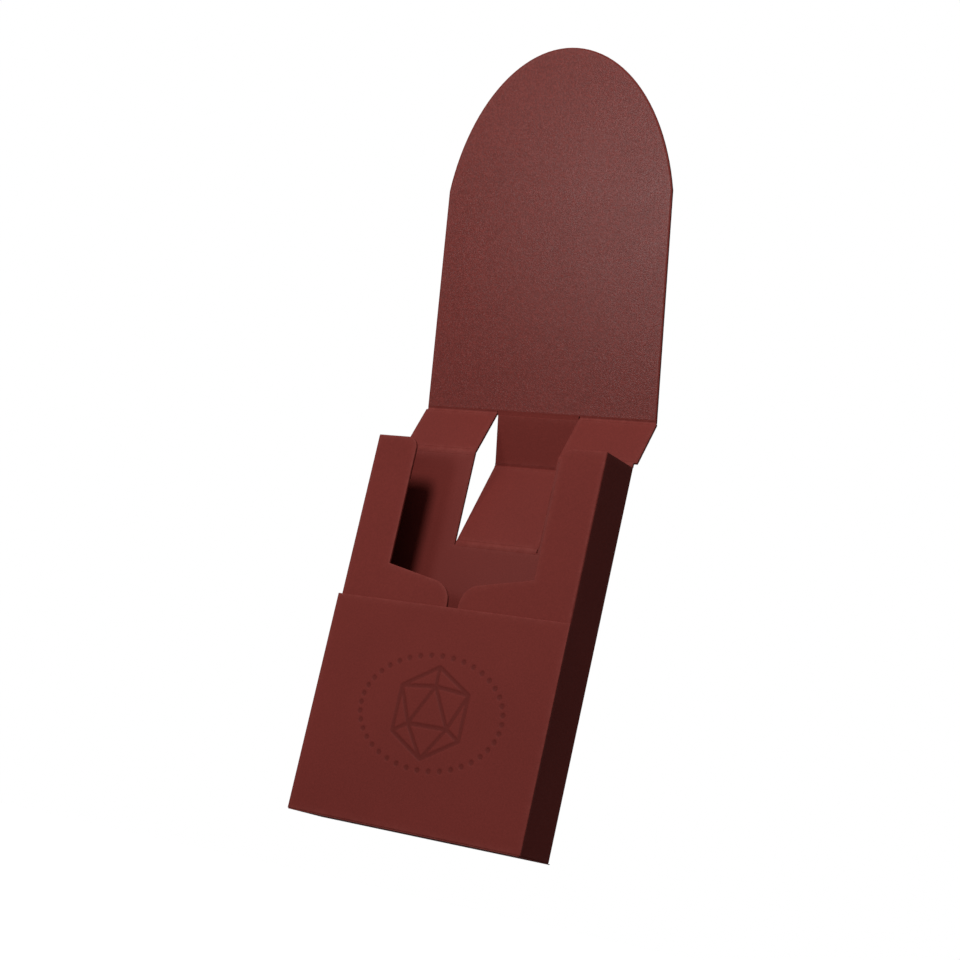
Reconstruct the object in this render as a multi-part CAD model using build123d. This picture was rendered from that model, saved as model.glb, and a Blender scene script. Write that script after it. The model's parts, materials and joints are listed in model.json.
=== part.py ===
"""Slim leatherette dice box whose long tongue lid opens it into a small dice tower.

Millimetres, +Z up, the front faces -Y. The origin is the middle of the underside of the box.
Every panel is a sandwich: a stiff board between an outer skin and a lining. The panels meet at
folds, where only leather is left, and the leather turns about an axis in the panel's mid-plane.
"""
from build123d import *
from math import atan2, cos, degrees, hypot, radians, sin, sqrt
import os

# Panels
COVER = 0.2             # outer skin, and also the lining
BOARD = 0.6
PANEL = BOARD + 2 * COVER
FOLD_GAP = 0.6          # from a fold's axis to the end of the panel beside it
FOLD_RADIUS = 0.38      # the leather that turns in a fold
EDGE = 0.3              # how far a board stops short of a free edge
PLAY = 0.3              # between the middle strip and what it passes
BASE_SHEET = 0.3        # the leather under the box, one flat sheet
BASE_FIT = 0.1          # between the base board and the walls round it

# Box
WIDTH = 90.0
DEPTH = 18.0            # outside, from the flaps' face to the back's face
HEIGHT = 129.2          # of the side walls and the front flaps
CORNER = 0.6            # round of the upright corners
FRONT_HEIGHT = 73.2     # of the lower front panel
FRONT_OVERHANG = 0.6    # the lower front stands out past the side walls
BASE_OVERHANG = 0.2     # and the sheet below it

# Window between the two front flaps
WINDOW_HALF = 28.5
WINDOW_CORNER_Z = 85.5
WINDOW_TOP_RADIUS = 4.0
SLOT_HALF = 2.2
SLOT_SHOULDER_Z = 80.5
SLOT_RADIUS = 7.4

# Lid
LID_FOLD_Z = 130.0
LID_LEAN = 24.7         # the strip leans this far back, in degrees
LID_STRIP = 18.2        # between its two folds
LID_HALF = 46.2
TONGUE_LEAN = 14.1      # the tongue leans this far forward, in degrees
TONGUE_FOOT_HALF = 45.8
TONGUE_SHOULDER = 76.2  # from the fold to where the arch starts
TONGUE_SHOULDER_HALF = 44.3
TONGUE_LENGTH = 124.4
ARCH_CENTRE = 60.0      # centre of the arch's ellipse, from the fold

# Middle strip, cut free of the back and of the lid strip, which bows out behind them
MIDDLE_HALF = 16.2
MIDDLE_FOLD_Z = 98.2    # where it leaves the back
MIDDLE_BEND = (21.4, 129.2)  # y and z of its own bend

# Closure: thin discs in the tongue's board and in the lower front's board
MAGNET_RADIUS = 4.0
MAGNET_X = 18.0
MAGNET_ALONG = 104.0    # from the tongue's fold

INSIDE = DEPTH / 2 - PANEL
BACK_TOP = LID_FOLD_Z - FOLD_GAP
SIDES = (("left", -1), ("right", 1))

# Folds, each as the y and z of its axis
LID_FOLD = (DEPTH / 2 - PANEL / 2, LID_FOLD_Z)
TONGUE_FOLD = (
    LID_FOLD[0] + LID_STRIP * sin(radians(LID_LEAN)),
    LID_FOLD[1] + LID_STRIP * cos(radians(LID_LEAN)),
)
MIDDLE_FOLD = (LID_FOLD[0], MIDDLE_FOLD_Z)


def save(name, shape):
    shape.label = name
    export_step(shape, f"parts/{name}.step")


def rectangle(x_a, x_b, z_low, z_high):
    centre = Pos((x_a + x_b) / 2, (z_low + z_high) / 2)
    return centre * Rectangle(abs(x_b - x_a), z_high - z_low)


def upright(outline, inner, outer):
    """A slab from y = inner to y = outer, from an outline drawn in X and Z."""
    return Pos(0, outer, 0) * extrude(Plane.XZ * outline, amount=outer - inner)


def placed(shape, fold, lean):
    """Sets a shape whose fold lies at y = z = 0 on a fold, leaning forward by some degrees."""
    return Pos(0, fold[0], fold[1]) * Rot(lean, 0, 0) * shape


def straight_run(start, end):
    """Length and forward lean, in degrees, from one fold up to another."""
    along_y = end[0] - start[0]
    along_z = end[1] - start[1]
    return hypot(along_y, along_z), degrees(atan2(-along_y, along_z))


def sandwich(outline, board_outline, discs=None):
    """Board, outer skin turned round the board's edges, and lining, about the plane y = 0."""
    board = upright(board_outline, -BOARD / 2, BOARD / 2)
    skin = upright(outline, -BOARD / 2, PANEL / 2) - board
    lining = upright(outline, -PANEL / 2, -BOARD / 2)
    if discs:
        board = board - discs
    return {"board": board, "outer_skin": skin, "lining": lining}


def strip(x_a, x_b, low, high):
    """The sandwich of a plain rectangular panel."""
    x_low, x_high = sorted((x_a, x_b))
    board_outline = rectangle(x_low + EDGE, x_high - EDGE, low + EDGE, high - EDGE)
    return sandwich(rectangle(x_low, x_high, low, high), board_outline)


def save_sandwich(name, layers, fold, lean):
    for layer, shape in layers.items():
        save(f"{name}_{layer}", placed(shape, fold, lean))


def fold_leather(x_a, x_b):
    """Leather from the end of the panel below up to a round nose on the axis y = z = 0."""
    nose = Pos((x_a + x_b) / 2, 0, 0) * Rot(0, 90, 0) * Cylinder(FOLD_RADIUS, abs(x_b - x_a))
    tail = upright(rectangle(x_a, x_b, -FOLD_GAP, 0), -FOLD_RADIUS, FOLD_RADIUS)
    return nose + tail


def magnet_pair(height):
    disc = Rot(90, 0, 0) * Cylinder(MAGNET_RADIUS, BOARD)
    return [Pos(sign * MAGNET_X, 0, height) * disc for _, sign in SIDES]


def window_outline(grow):
    """The opening between the flaps and the slot that runs on down between them."""
    side = WINDOW_HALF + grow
    slot = SLOT_HALF + grow
    floor = WINDOW_CORNER_Z - grow
    shoulder = SLOT_SHOULDER_Z - grow
    top = HEIGHT + PANEL
    right_edge = [(side, top), (side, floor), (slot, shoulder), (slot, 0)]
    left_edge = [(-x, z) for x, z in reversed(right_edge)]
    face = make_face(Polyline(right_edge + left_edge, close=True))
    shoulders = [v for v in face.vertices() if abs(v.Y - shoulder) < 0.01]
    face = fillet(shoulders, SLOT_RADIUS - grow)
    round_z = HEIGHT - WINDOW_TOP_RADIUS
    for _, sign in SIDES:
        round_x = sign * (WINDOW_HALF + WINDOW_TOP_RADIUS)
        corner = rectangle(sign * WINDOW_HALF, round_x, round_z, top)
        face = face + (corner - Pos(round_x, round_z) * Circle(WINDOW_TOP_RADIUS - grow))
    return face


def tongue_outline(inset):
    """Straight sides that draw in a little towards the top, then an arch of an ellipse."""
    shoulder = TONGUE_SHOULDER_HALF - inset
    foot = TONGUE_FOOT_HALF - inset
    low = FOLD_GAP + inset
    rise = TONGUE_LENGTH - inset - ARCH_CENTRE
    above_centre = (TONGUE_SHOULDER - ARCH_CENTRE) / rise
    half = shoulder / sqrt(1 - above_centre**2)
    start = degrees(atan2(above_centre, shoulder / half))
    arch = EllipticalCenterArc(
        (0, ARCH_CENTRE), half, rise, start_angle=start, arc_size=180 - 2 * start
    )
    left = (-shoulder, TONGUE_SHOULDER)
    right = (shoulder, TONGUE_SHOULDER)
    return make_face(Curve() + [arch, Polyline(left, (-foot, low), (foot, low), right)])


def make_base():
    """A flat sheet under the walls and the lower front, and a lined board between the walls."""
    half = WIDTH / 2 + BASE_OVERHANG
    sheet = Pos(0, -PANEL / 2, 0) * extrude(Rectangle(2 * half, DEPTH + PANEL), amount=BASE_SHEET)
    wide = WIDTH - 2 * (PANEL + BASE_FIT)
    inside = RectangleRounded(wide, 2 * (INSIDE - BASE_FIT), CORNER - COVER)
    save("base_outer_skin", sheet)
    save("base_board", Pos(0, 0, BASE_SHEET) * extrude(inside, amount=BOARD))
    save("base_lining", Pos(0, 0, BASE_SHEET + BOARD) * extrude(inside, amount=COVER))


def make_lower_front():
    """Its outer side is the front, so the sandwich is turned about the upright axis."""
    half = WIDTH / 2 + FRONT_OVERHANG
    turned = Pos(0, -DEPTH / 2 - PANEL / 2, 0) * Rot(0, 0, 180)
    discs = magnet_pair(LID_FOLD_Z - MAGNET_ALONG)
    board_outline = rectangle(-half + EDGE, half - EDGE, BASE_SHEET + EDGE, FRONT_HEIGHT - EDGE)
    outline = rectangle(-half, half, BASE_SHEET, FRONT_HEIGHT)
    for layer, shape in sandwich(outline, board_outline, discs).items():
        save(f"lower_front_{layer}", turned * shape)
    for side, disc in zip(("right", "left"), discs):
        save(f"front_keeper_{side}", turned * disc)


def make_body():
    """Back, side walls and front flaps: five boards in one wrapped skin and one lining."""
    notch_half = MIDDLE_HALF + PLAY
    notch_floor = MIDDLE_FOLD_Z - FOLD_GAP
    notch_outline = rectangle(-notch_half, notch_half, notch_floor, HEIGHT + PANEL)
    notch = upright(notch_outline, 0, DEPTH)
    window = upright(window_outline(0), -DEPTH, 0)
    over_walls = Pos(0, -PANEL, HEIGHT + PANEL / 2) * Box(2 * WIDTH, DEPTH, PANEL)

    def wrap(inset):
        outer = RectangleRounded(WIDTH - 2 * inset, DEPTH - 2 * inset, CORNER)
        inset = inset + COVER
        inner = RectangleRounded(WIDTH - 2 * inset, DEPTH - 2 * inset, CORNER - COVER)
        walls = Pos(0, 0, BASE_SHEET) * extrude(outer - inner, amount=BACK_TOP - BASE_SHEET)
        return walls - notch - window - over_walls

    save("body_outer_skin", wrap(0))
    save("body_lining", wrap(COVER + BOARD))

    board_half = WIDTH / 2 - PANEL - EDGE
    low = BASE_SHEET + EDGE
    high = HEIGHT - EDGE
    face = DEPTH / 2 - COVER
    notch_side = notch_half + EDGE
    back = rectangle(-board_half, board_half, low, high)
    back = back - rectangle(-notch_side, notch_side, notch_floor - EDGE, HEIGHT + PANEL)
    save("back_board", upright(back, face - BOARD, face))
    for side, sign in SIDES:
        wall = Box(BOARD, 2 * (INSIDE - EDGE), high - low)
        wall_x = sign * (WIDTH / 2 - COVER - BOARD / 2)
        save(f"{side}_side_board", Pos(wall_x, 0, (low + high) / 2) * wall)
        flap = rectangle(0, sign * board_half, low, high) - window_outline(EDGE)
        save(f"{side}_flap_board", upright(flap, -face, -face + BOARD))
        hinge = fold_leather(sign * notch_half, sign * WIDTH / 2)
        save(f"{side}_lid_fold_leather", placed(hinge, LID_FOLD, 0))
    foot = fold_leather(-MIDDLE_HALF, MIDDLE_HALF)
    save("middle_foot_fold_leather", placed(foot, MIDDLE_FOLD, 0))


def make_lid_tabs():
    """The lid strip is left as a tab each side of the middle strip."""
    near = MIDDLE_HALF + PLAY
    for side, sign in SIDES:
        tab = strip(sign * near, sign * LID_HALF, FOLD_GAP, LID_STRIP - FOLD_GAP)
        save_sandwich(f"{side}_tab", tab, LID_FOLD, -LID_LEAN)
        hinge = fold_leather(sign * near, sign * TONGUE_FOOT_HALF)
        save(f"{side}_tongue_fold_leather", placed(hinge, TONGUE_FOLD, -LID_LEAN))


def make_tongue():
    discs = magnet_pair(MAGNET_ALONG)
    layers = sandwich(tongue_outline(0), tongue_outline(EDGE), discs)
    save_sandwich("tongue", layers, TONGUE_FOLD, TONGUE_LEAN)
    for (side, _), disc in zip(SIDES, discs):
        save(f"tongue_magnet_{side}", placed(disc, TONGUE_FOLD, TONGUE_LEAN))
    hinge = fold_leather(-MIDDLE_HALF, MIDDLE_HALF)
    save("middle_top_fold_leather", placed(hinge, TONGUE_FOLD, TONGUE_LEAN + 180))


def make_middle_strip():
    length, lean = straight_run(MIDDLE_FOLD, MIDDLE_BEND)
    lower = strip(-MIDDLE_HALF, MIDDLE_HALF, FOLD_GAP, length - FOLD_GAP)
    save_sandwich("middle_lower", lower, MIDDLE_FOLD, lean)
    hinge = fold_leather(-MIDDLE_HALF, MIDDLE_HALF)
    save("middle_bend_fold_leather", placed(hinge, MIDDLE_BEND, lean))
    length, lean = straight_run(MIDDLE_BEND, TONGUE_FOLD)
    upper = strip(-MIDDLE_HALF, MIDDLE_HALF, FOLD_GAP, length - FOLD_GAP)
    save_sandwich("middle_upper", upper, MIDDLE_BEND, lean)


os.makedirs("parts", exist_ok=True)
make_base()
make_lower_front()
make_body()
make_lid_tabs()
make_tongue()
make_middle_strip()
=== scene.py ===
"""Leather, folds and finish of a slim dice box whose long tongue lid opens it into a dice tower.

Metres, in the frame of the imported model: +Z up, the front faces -Y, and the origin is the middle
of the underside. Each panel is a board between an outer cover, turned round the board's edges, and
a lining. A cover is drawn as a flat pattern with an edge profile. Then it is set on its panel's
plane or, for the body, folded up round the box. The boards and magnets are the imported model's own.
"""
import json
from math import atan2, ceil, cos, pi, radians, sin, sqrt, tan

import bmesh
import bpy
from mathutils import Matrix, Vector
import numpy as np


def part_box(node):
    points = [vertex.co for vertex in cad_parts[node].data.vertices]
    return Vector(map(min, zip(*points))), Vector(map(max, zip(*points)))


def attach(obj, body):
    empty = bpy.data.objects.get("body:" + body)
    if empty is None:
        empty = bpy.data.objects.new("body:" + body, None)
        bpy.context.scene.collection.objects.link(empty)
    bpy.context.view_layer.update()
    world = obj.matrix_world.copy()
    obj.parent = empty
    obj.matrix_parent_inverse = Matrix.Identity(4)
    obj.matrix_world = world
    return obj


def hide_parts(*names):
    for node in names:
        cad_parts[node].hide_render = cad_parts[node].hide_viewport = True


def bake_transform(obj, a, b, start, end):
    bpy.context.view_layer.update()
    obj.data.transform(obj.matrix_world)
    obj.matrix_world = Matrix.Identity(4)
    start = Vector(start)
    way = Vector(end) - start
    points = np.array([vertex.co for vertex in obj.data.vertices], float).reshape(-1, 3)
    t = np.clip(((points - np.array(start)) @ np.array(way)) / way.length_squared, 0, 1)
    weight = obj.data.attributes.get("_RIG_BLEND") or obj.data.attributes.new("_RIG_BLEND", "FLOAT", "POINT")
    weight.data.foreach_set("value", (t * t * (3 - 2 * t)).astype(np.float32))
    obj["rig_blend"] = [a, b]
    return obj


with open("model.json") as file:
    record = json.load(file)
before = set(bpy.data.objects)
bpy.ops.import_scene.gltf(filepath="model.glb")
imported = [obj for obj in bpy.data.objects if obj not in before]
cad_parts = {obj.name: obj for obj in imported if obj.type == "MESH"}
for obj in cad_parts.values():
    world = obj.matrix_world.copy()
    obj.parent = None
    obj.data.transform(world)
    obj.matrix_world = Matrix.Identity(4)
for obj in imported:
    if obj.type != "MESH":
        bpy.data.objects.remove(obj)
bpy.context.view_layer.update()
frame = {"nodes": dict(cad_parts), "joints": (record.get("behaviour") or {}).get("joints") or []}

bl_info = {
    "name": "Dice Box Leatherwork",
    "version": (1, 0, 0),
    "blender": (4, 5, 0),
    "location": "View3D > Sidebar > Dice Box",
    "description": "Dresses the packed dice box model in leatherette covers, linings and folds",
    "category": "Object",
}

MM = 0.001

# Panels and folds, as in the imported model
PANEL_HALF = 0.5 * MM      # from a panel's mid-plane to its faces
BOARD_HALF = 0.3 * MM
BOARD_INSET = 0.3 * MM     # a board stops this far short of the cover's edge
FOLD_GAP = 0.6 * MM        # from a fold's axis to the end of the panel beside it
CAD_FOLD_HALF = 0.38 * MM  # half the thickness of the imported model's fold leather

# Leather, as it is made here
BOARD_AIR = 0.01 * MM      # between a board and the leather on it
FOLD_HALF = 0.43 * MM      # half the thickness of the leather that turns in a fold
FOLD_OVERLAP = 0.25 * MM   # a fold's leather runs this far into the panel's end
FOLD_EDGE = 0.2 * MM       # round of a fold's cut edges
BASE_EDGE = 0.06 * MM      # round of the base's thin leather
CORNER_WEAR_AND_HIGHLIGHT = 1.4 * MM     # how far the extra rubbing and painted highlight of the body's corners reach
WEAR_AND_HIGHLIGHT_STEPS = (1.0, 0.55, 0.28)  # rings in a face, from the end of the rubbing and painted highlight towards the edge
ARC_STEP = radians(9)
SMOOTH_ANGLE = radians(38)
SIDES = (("left", -1), ("right", 1))


def fold_axis(joint):
    """y and z of a joint's axis."""
    place = next(j for j in frame["joints"] if j["name"] == joint)["pos_m"]
    return Vector(place[1:])


def from_fold(start, end):
    """Length and backward lean of a straight panel from one fold up to another."""
    run = end - start
    return run.length, atan2(run.x, run.y)


BODY_LOW, BODY_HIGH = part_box("body_outer_skin")
FRONT_LOW, FRONT_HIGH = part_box("lower_front_outer_skin")
FLAP_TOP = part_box("left_flap_board")[1].z + BOARD_INSET
SLOT_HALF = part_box("right_flap_board")[0].x - BOARD_INSET
NOTCH_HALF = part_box("right_tab_outer_skin")[0].x
TAB_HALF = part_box("right_tab_outer_skin")[1].x
TONGUE_FOOT_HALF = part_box("tongue_outer_skin")[1].x
MIDDLE_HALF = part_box("middle_lower_outer_skin")[1].x

LID_FOLD = fold_axis("lid_fold")
TONGUE_FOLD = fold_axis("tongue_fold")
MIDDLE_FOLD = fold_axis("middle_lower_fold")
BEND_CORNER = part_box("middle_bend_fold_leather")[1]
MIDDLE_BEND = Vector((BEND_CORNER.y - CAD_FOLD_HALF, BEND_CORNER.z - CAD_FOLD_HALF))
LID_RUN, LID_LEAN = from_fold(LID_FOLD, TONGUE_FOLD)
LOWER_RUN, LOWER_LEAN = from_fold(MIDDLE_FOLD, MIDDLE_BEND)
UPPER_RUN, UPPER_LEAN = from_fold(MIDDLE_BEND, TONGUE_FOLD)
TONGUE_LEAN = radians(-14.1)


# ---------------------------------------------------------------- sizes and colours

def number(name, description, default, **kind):
    return bpy.props.FloatProperty(name=name, description=description, default=default, **kind)


def length(name, description, default):
    return number(name, description, default, unit="LENGTH", precision=5)


def colour(name, description, default):
    return bpy.props.FloatVectorProperty(
        name=name, description=description, default=default, subtype="COLOR", min=0, max=1
    )


def share(name, description, default):
    return number(name, description, default, subtype="FACTOR", min=0, max=1)


class LeatherWork(bpy.types.PropertyGroup):
    """How the covers are turned, lined and folded"""

    edge_round: length("Edge round", "Radius of a turned edge", 0.26 * MM)
    lining_setback: length("Lining setback", "From a panel's edge to its lining", 0.45 * MM)
    # edge rubbing and its painted highlight run this far onto a face
    wear_and_highlight_reach: length("Wear reach", "How far edge wear runs onto a face", 2.6 * MM)
    corner_round: length("Corner round", "Mid-plane radius of the body's corners", 0.1 * MM)
    fold_dip: length("Fold dip", "How far a fold's leather sinks between its panels", 0.04 * MM)


class WindowCut(bpy.types.PropertyGroup):
    """The opening between the front flaps"""

    half: length("Half width", "Half the width of the window", 28.5 * MM)
    corner_z: length("Corner height", "Height of the window's lower corners", 85.5 * MM)
    top_round: length("Top round", "Radius of the flaps' top corners", 4.0 * MM)
    shoulder_z: length("Slot shoulder", "Height where the slot's sides begin", 80.5 * MM)
    shoulder_round: length("Shoulder round", "Radius between window and slot", 7.4 * MM)


class TongueShape(bpy.types.PropertyGroup):
    """Outline of the tongue lid, measured from its fold"""

    shoulder: length("Shoulder", "Where the arch starts", 76.2 * MM)
    shoulder_half: length("Shoulder half width", "Half the width at the shoulder", 44.3 * MM)
    reach: length("Length", "From the fold to the tip", 124.4 * MM)
    arch_centre: length("Arch centre", "Centre of the arch's ellipse", 60.0 * MM)


class PressedOrnament(bpy.types.PropertyGroup):
    """A many-sided die in a ring of pips, pressed into the lower front"""

    centre_x: length("Centre across", "Middle of the ornament across the front", 1.5 * MM)
    centre_z: length("Centre height", "Middle of the ornament above the base", 38.5 * MM)
    die_radius: length("Die radius", "Radius of the die's outline", 15.0 * MM)
    ring_width: length("Ring half width", "Half the width of the oval ring", 27.5 * MM)
    ring_height: length("Ring half height", "Half the height of the oval ring", 18.6 * MM)
    line_width: length("Line width", "Width of a pressed line", 1.0 * MM)
    pip_radius: length("Pip radius", "Radius of a pressed pip", 0.75 * MM)
    pips: bpy.props.IntProperty(
        name="Pips", description="Number of pips in the ring", default=40, min=3
    )
    depth: length("Depth", "Depth of the pressing", 0.15 * MM)
    flank: length("Flank", "Width of a pressed line's sloping side", 0.3 * MM)
    cell: length("Mesh cell", "Cell of the mesh that takes the pressing", 0.3 * MM)


class Finish(bpy.types.PropertyGroup):
    """Colours and grain"""

    outer: colour("Outer leatherette", "Colour of the covers", (0.139, 0.0226, 0.0182))
    lining: colour("Lining", "Colour of the linings", (0.139, 0.0226, 0.0182))
    # lighter colour of rubbed edges, which also paints a highlight on them
    worn_and_highlit: colour("Worn leather", "Colour where edges are rubbed", (0.30, 0.085, 0.072))
    board: colour("Board", "Colour of the grey board", (0.23, 0.21, 0.18))
    nickel: colour("Nickel", "Colour of the magnets", (0.62, 0.60, 0.56))
    grain: length("Grain", "Width of one cell of the leather grain", 0.5 * MM)
    # strength of the edge rubbing and its painted highlight
    wear_and_highlight: share("Wear And Highlight", "Strength of the edge wear", 0.12)


class Studio(bpy.types.PropertyGroup):
    """Camera, floor and light"""

    camera: bpy.props.FloatVectorProperty(
        name="Camera", description="Place of the camera", subtype="TRANSLATION",
        unit="LENGTH", default=(374.285 * MM, -550.067 * MM, -14.339 * MM),
    )
    heading: number("Heading", "Turn of the camera to the left of +Y", radians(34.54985),
                    unit="ROTATION")
    pitch: number("Pitch", "Upward tilt of the camera", radians(10.24746), unit="ROTATION")
    roll: number("Roll", "Roll of the camera about its view", radians(12.78187), unit="ROTATION")
    lens: number("Lens", "Focal length of the camera in mm", 77.088)
    shift_x: number("Shift across", "Lens shift across", 0.0031)
    shift_y: number("Shift up", "Lens shift up", 0.0371)
    floor_z: length("Floor", "Height of the floor", -60 * MM)
    key_watts: number("Key light", "Power of the key light", 5.1, min=0)
    sheen_watts: number("Sheen light", "Power of the low light on the tongue", 0.4, min=0)
    back_watts: number("Back light", "Power of the light behind", 9.0, min=0)
    ambient: share("Ambient", "Brightness of the room's own light", 0.28)


GROUPS = {
    "dice_box_leather": LeatherWork,
    "dice_box_window": WindowCut,
    "dice_box_tongue": TongueShape,
    "dice_box_ornament": PressedOrnament,
    "dice_box_finish": Finish,
    "dice_box_studio": Studio,
}


def settings(name):
    """One of the scene's groups of sizes and colours."""
    return getattr(bpy.context.scene, f"dice_box_{name}")


# ---------------------------------------------------------------- flat patterns

def rounded_corner(before, corner, after, radius):
    """Points of the arc that rounds a corner between two straight sides."""
    to_before = (before - corner).normalized()
    to_after = (after - corner).normalized()
    half = to_before.angle(to_after) / 2
    centre = corner + (to_before + to_after).normalized() * (radius / sin(half))
    start = corner + to_before * (radius / tan(half)) - centre
    turn = pi - 2 * half
    if to_before.cross(to_after) > 0:
        turn = -turn
    steps = max(2, ceil(abs(turn) / ARC_STEP))
    return [centre + Matrix.Rotation(turn * i / steps, 2) @ start for i in range(steps + 1)]


def outline(corners):
    """Closed outline from (across, up) corners, each with a third number where it is rounded."""
    places = [Vector(c[:2]) for c in corners]
    points = []
    for i, corner in enumerate(corners):
        if len(corner) == 2:
            points.append(places[i])
        else:
            after = places[(i + 1) % len(places)]
            points += rounded_corner(places[i - 1], places[i], after, corner[2])
    return points


def rectangle(x_a, x_b, low, high):
    """Closed outline of a rectangle, whichever of its sides is given first."""
    left, right = sorted((x_a, x_b))
    return outline([(left, low), (right, low), (right, high), (left, high)])


def inset_outline(points, inset):
    """The outline moved inwards, each point along the bisector of its two sides."""
    moved = []
    for i, point in enumerate(points):
        before = (point - points[i - 1]).normalized().orthogonal()
        after = (points[(i + 1) % len(points)] - point).normalized().orthogonal()
        moved.append(point + (before + after) * (inset / (1 + before.dot(after))))
    return moved


def arc_profile(radius, height, start, end, steps=4):
    """Points (inset, height) of a round whose centre is one radius inside the edge."""
    angles = [start + (end - start) * i / steps for i in range(steps + 1)]
    return [(radius - radius * cos(a), height + radius * sin(a)) for a in angles]


def cover_profile():
    """Outer face, round the edge, a short way onto the inner face, and back over the board."""
    work = settings("leather")
    edge = work.edge_round
    tuck = work.lining_setback
    face = [(work.wear_and_highlight_reach * s, PANEL_HALF) for s in WEAR_AND_HIGHLIGHT_STEPS]
    over = arc_profile(edge, PANEL_HALF - edge, pi / 2, 0)
    under = arc_profile(edge, edge - PANEL_HALF, 0, -pi / 2)
    inner = BOARD_HALF + BOARD_AIR
    clear = BOARD_INSET - 2 * BOARD_AIR
    tucked = [(tuck, -PANEL_HALF + 4 * BOARD_AIR), (tuck, -inner), (clear, -inner), (clear, inner)]
    return face + over + under + tucked


def lining_profile():
    """From the board's face, round a thin trimmed edge, onto the inner face."""
    work = settings("leather")
    edge = work.lining_setback + BOARD_AIR
    low = BOARD_HALF + BOARD_AIR
    trim = [(edge, -low), (edge, 6 * BOARD_AIR - PANEL_HALF), (edge + 5 * BOARD_AIR, -PANEL_HALF)]
    return trim + [(edge + work.wear_and_highlight_reach * s, -PANEL_HALF) for s in WEAR_AND_HIGHLIGHT_STEPS[::-1]]


LAYERS = (
    ("outer_skin", cover_profile, "outer_leatherette"),
    ("lining", lining_profile, "lining_leatherette"),
)


def shell(points, profile):
    """A closed shell: the outline repeated at each (inset, height), and flat at both ends.

    Across is x, up is z, and the outer side is +y. The edge attribute, for rubbing and a painted
    highlight, is 1 on the edge and falls to 0 where they end.
    """
    reach = settings("leather").wear_and_highlight_reach
    bm = bmesh.new()
    worn_and_highlit = bm.verts.layers.float.new("worn_and_highlit")
    loops = []
    for inset, height in profile:
        loop = [bm.verts.new((p.x, height, p.y)) for p in inset_outline(points, inset)]
        for vert in loop:
            vert[worn_and_highlit] = max(0.0, 1 - inset / reach) ** 2
        loops.append(loop)
    count = len(points)
    for above, below in zip(loops, loops[1:]):
        for i in range(count):
            j = (i + 1) % count
            bm.faces.new((above[i], above[j], below[j], below[i]))
    bm.faces.new(loops[0])
    bm.faces.new(loops[-1])
    bmesh.ops.recalc_face_normals(bm, faces=bm.faces)
    return bm


def cut_across(bm, axis, places):
    """Splits the shell on planes across an axis, so that it can bend or take a pressing there."""
    normal = Vector([float(i == axis) for i in range(3)])
    for place in places:
        geometry = bm.verts[:] + bm.edges[:] + bm.faces[:]
        bmesh.ops.bisect_plane(
            bm, geom=geometry, dist=1e-7, plane_co=normal * place, plane_no=normal
        )


def evenly(start, end, step):
    """Places from start to end, at most a step apart."""
    count = max(1, ceil(abs(end - start) / step))
    return [start + (end - start) * i / count for i in range(count + 1)]


def smooth(mesh):
    """Smooth shading, with the sharper edges kept sharp."""
    mesh.shade_smooth()
    mesh.set_sharp_from_angle(angle=SMOOTH_ANGLE)


def new_object(name, data):
    """An object in the scene, at the origin."""
    made = bpy.data.objects.new(name, data)
    bpy.context.scene.collection.objects.link(made)
    return made


def link_mesh(bm, name, material):
    """The finished mesh as an object at the origin."""
    bm.normal_update()
    crowded = [f for f in bm.faces if len(f.verts) > 4]
    bmesh.ops.triangulate(bm, faces=crowded)
    bmesh.ops.recalc_face_normals(bm, faces=bm.faces)
    mesh = bpy.data.meshes.new(name)
    bm.to_mesh(mesh)
    bm.free()
    smooth(mesh)
    mesh.materials.append(material)
    return new_object(name, mesh)


def dress(piece, nodes, body=None):
    """Hides the model nodes that a piece stands for, and gives the piece its body unless it is blended."""
    if body:
        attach(piece, body)
    if nodes:
        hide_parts(*nodes)


def on_plane(bm, fold, lean):
    """Sets a pattern, drawn upright from its fold, on a plane that leans back from that fold."""
    turn = Matrix.Rotation(-lean, 4, "X")
    bm.transform(Matrix.Translation((0, fold.x, fold.y)) @ turn)


def cover_panel(name, points, body, fold, lean, lining_look="lining_leatherette"):
    """The cover and the lining of one flat panel."""
    for layer, profile, slot in LAYERS:
        look = lining_look if layer == "lining" else slot
        bm = shell(points, profile())
        on_plane(bm, fold, lean)
        piece = link_mesh(bm, f"{name}_{layer}_leather", leather(look))
        dress(piece, [f"{name}_{layer}"], body)


# ---------------------------------------------------------------- shader groups

def new_group(name, inputs, outputs):
    """A shader node group with named sockets, and its inner input and output nodes."""
    tree = bpy.data.node_groups.new(name, "ShaderNodeTree")
    for label, kind, default in inputs:
        socket = tree.interface.new_socket(name=label, in_out="INPUT", socket_type=kind)
        if default is not None:
            socket.default_value = default
    for label, kind in outputs:
        tree.interface.new_socket(name=label, in_out="OUTPUT", socket_type=kind)
    return tree, tree.nodes.new("NodeGroupInput"), tree.nodes.new("NodeGroupOutput")


def add(tree, kind, links=None, **values):
    """A node with its settings, and its inputs set or linked by name or number."""
    node = tree.nodes.new(kind)
    for key, value in values.items():
        setattr(node, key, value)
    for key, value in (links or {}).items():
        if isinstance(value, bpy.types.NodeSocket):
            tree.links.new(value, node.inputs[key])
        else:
            node.inputs[key].default_value = value
    return node


def math_node(tree, operation, *values):
    node = add(tree, "ShaderNodeMath", dict(enumerate(values)), operation=operation)
    return node.outputs[0]


def ramp(tree, value, low, high, to_low=0.0, to_high=1.0):
    """Smooth step of a value between two bounds."""
    links = {"Value": value, "From Min": low, "From Max": high, "To Min": to_low, "To Max": to_high}
    return add(tree, "ShaderNodeMapRange", links, interpolation_type="SMOOTHSTEP").outputs[0]


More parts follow.
